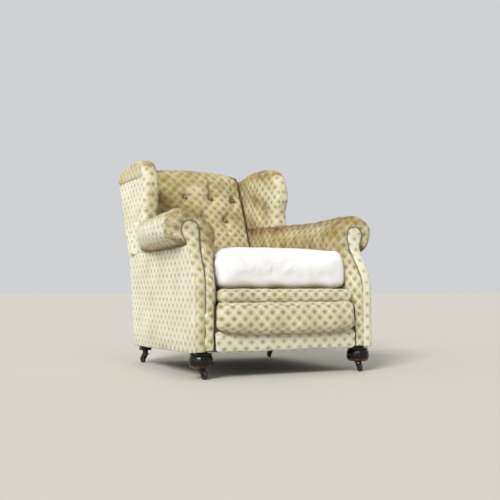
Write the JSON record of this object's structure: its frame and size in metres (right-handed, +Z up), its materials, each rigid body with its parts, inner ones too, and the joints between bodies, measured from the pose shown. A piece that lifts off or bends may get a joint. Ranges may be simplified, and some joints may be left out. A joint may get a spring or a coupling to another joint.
{
  "type": "wing armchair",
  "caption": "Worn upholstered wing armchair with rolled scroll arms, a buttoned raked back, a loose seat cushion, turned front feet and castors that swivel and roll.",
  "frame": {"origin": "on the floor, below the middle of the chair's box", "axes": "+Z up, the front of the chair towards -Y, +X to the viewer's right"},
  "size_m": [0.885, 1.073, 0.8876],
  "materials": {
    "patterned_cover": "worn cream jacquard with a small diamond trellis, stained and rubbed",
    "side_cover": "the same cloth on the outside, paler and cleaner",
    "piping": "dark olive covered cord",
    "calico": "plain white calico, creased and dusty",
    "beech": "plain beech, unfinished",
    "webbing": "jute webbing",
    "black_cloth": "black dust cloth",
    "spring_steel": "oiled spring wire",
    "ebonised_wood": "black polish, worn to red-brown wood at the rims",
    "iron": "dark iron",
    "wheel": "dark iron wheel"
  },
  "bodies": {
    "chair": {"back_button_1": "patterned_cover", "back_button_2": "patterned_cover", "back_button_3": "patterned_cover", "back_button_4": "patterned_cover", "back_button_5": "patterned_cover", "back_button_6": "patterned_cover", "back_button_7": "patterned_cover", "back_pad": "patterned_cover", "back_seat_rail": "beech", "bottom_cloth": "black_cloth", "crest_rail": "beech", "front_lip_roll": "patterned_cover", "front_panel": "patterned_cover", "front_rail_band": "patterned_cover", "front_seat_rail": "beech", "left_arm_facing": "patterned_cover", "left_arm_pad": "patterned_cover", "left_arm_piping": "piping", "left_arm_post": "beech", "left_arm_rail": "beech", "left_back_post": "beech", "left_bun_foot": "ebonised_wood", "left_outside_arm": "side_cover", "left_outside_wing": "side_cover", "left_rear_foot": "ebonised_wood", "left_side_rail": "beech", "left_wing_pad": "patterned_cover", "outside_back": "side_cover", "right_arm_facing": "patterned_cover", "right_arm_pad": "patterned_cover", "right_arm_piping": "piping", "right_arm_post": "beech", "right_arm_rail": "beech", "right_back_post": "beech", "right_bun_foot": "ebonised_wood", "right_outside_arm": "side_cover", "right_outside_wing": "side_cover", "right_rear_foot": "ebonised_wood", "right_side_rail": "beech", "right_wing_pad": "patterned_cover", "seat_cushion": "calico", "seat_platform": "patterned_cover", "seat_spring_1": "spring_steel", "seat_spring_2": "spring_steel", "seat_spring_3": "spring_steel", "seat_spring_4": "spring_steel", "seat_spring_5": "spring_steel", "seat_spring_6": "spring_steel", "seat_spring_7": "spring_steel", "seat_spring_8": "spring_steel", "seat_spring_9": "spring_steel", "seat_webbing": "webbing"},
    "front_left_castor_horn": {"front_left_castor_horn": "iron"},
    "front_left_castor_wheel": {"front_left_castor_wheel": "wheel"},
    "rear_left_castor_horn": {"rear_left_castor_horn": "iron"},
    "rear_left_castor_wheel": {"rear_left_castor_wheel": "wheel"},
    "front_right_castor_horn": {"front_right_castor_horn": "iron"},
    "front_right_castor_wheel": {"front_right_castor_wheel": "wheel"},
    "rear_right_castor_horn": {"rear_right_castor_horn": "iron"},
    "rear_right_castor_wheel": {"rear_right_castor_wheel": "wheel"}
  },
  "joints": [
    {"name": "front_left_castor_swivel", "type": "hinge", "parent": "chair", "child": "front_left_castor_horn", "pos_m": [-0.332, -0.45745, 0.0397], "axis": [0, 0, 1], "continuous": true},
    {"name": "front_left_castor_roll", "type": "hinge", "parent": "front_left_castor_horn", "child": "front_left_castor_wheel", "pos_m": [-0.32763, -0.47799, 0.01531], "axis": [0.9781, 0.2079, 0], "continuous": true},
    {"name": "rear_left_castor_swivel", "type": "hinge", "parent": "chair", "child": "rear_left_castor_horn", "pos_m": [-0.307, 0.23255, 0.0397], "axis": [0, 0, 1], "continuous": true},
    {"name": "rear_left_castor_roll", "type": "hinge", "parent": "rear_left_castor_horn", "child": "rear_left_castor_wheel", "pos_m": [-0.31065, 0.25323, 0.01531], "axis": [-0.9848, -0.1736, 0], "continuous": true},
    {"name": "front_right_castor_swivel", "type": "hinge", "parent": "chair", "child": "front_right_castor_horn", "pos_m": [0.332, -0.45745, 0.0397], "axis": [0, 0, 1], "continuous": true},
    {"name": "front_right_castor_roll", "type": "hinge", "parent": "front_right_castor_horn", "child": "front_right_castor_wheel", "pos_m": [0.32763, -0.47799, 0.01531], "axis": [0.9781, -0.2079, 0], "continuous": true},
    {"name": "rear_right_castor_swivel", "type": "hinge", "parent": "chair", "child": "rear_right_castor_horn", "pos_m": [0.307, 0.23255, 0.0397], "axis": [0, 0, 1], "continuous": true},
    {"name": "rear_right_castor_roll", "type": "hinge", "parent": "rear_right_castor_horn", "child": "rear_right_castor_wheel", "pos_m": [0.31065, 0.25323, 0.01531], "axis": [-0.9848, 0.1736, 0], "continuous": true}
  ]
}
